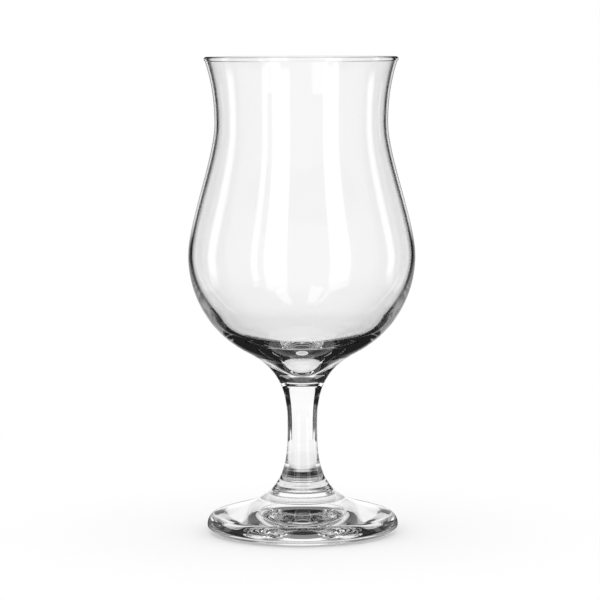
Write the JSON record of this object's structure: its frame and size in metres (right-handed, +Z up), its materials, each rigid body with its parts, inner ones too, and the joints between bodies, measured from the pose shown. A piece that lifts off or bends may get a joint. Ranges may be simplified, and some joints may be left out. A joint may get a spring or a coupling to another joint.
{
  "type": "poco grande glass",
  "caption": "Clear footed cocktail glass with a flared lip, pinched waist, round belly, solid concave stem and domed foot, made to stand on a table and hold a mixed drink.",
  "frame": {"origin": "centre of the resting ring under the foot, on the table surface", "axes": "+Z up along the axis of revolution towards the rim, +Y away from the viewer of the picture, +X to the viewer's right"},
  "size_m": [0.0862, 0.0862, 0.181],
  "materials": {
    "bowl_glass": "clear blown soda-lime glass, fire polished",
    "stem_glass": "clear solid soda-lime glass, fire polished",
    "foot_glass": "clear pressed soda-lime glass, fire polished"
  },
  "bodies": {
    "root": {"bowl": "bowl_glass", "stem": "stem_glass", "foot": "foot_glass"}
  },
  "joints": []
}
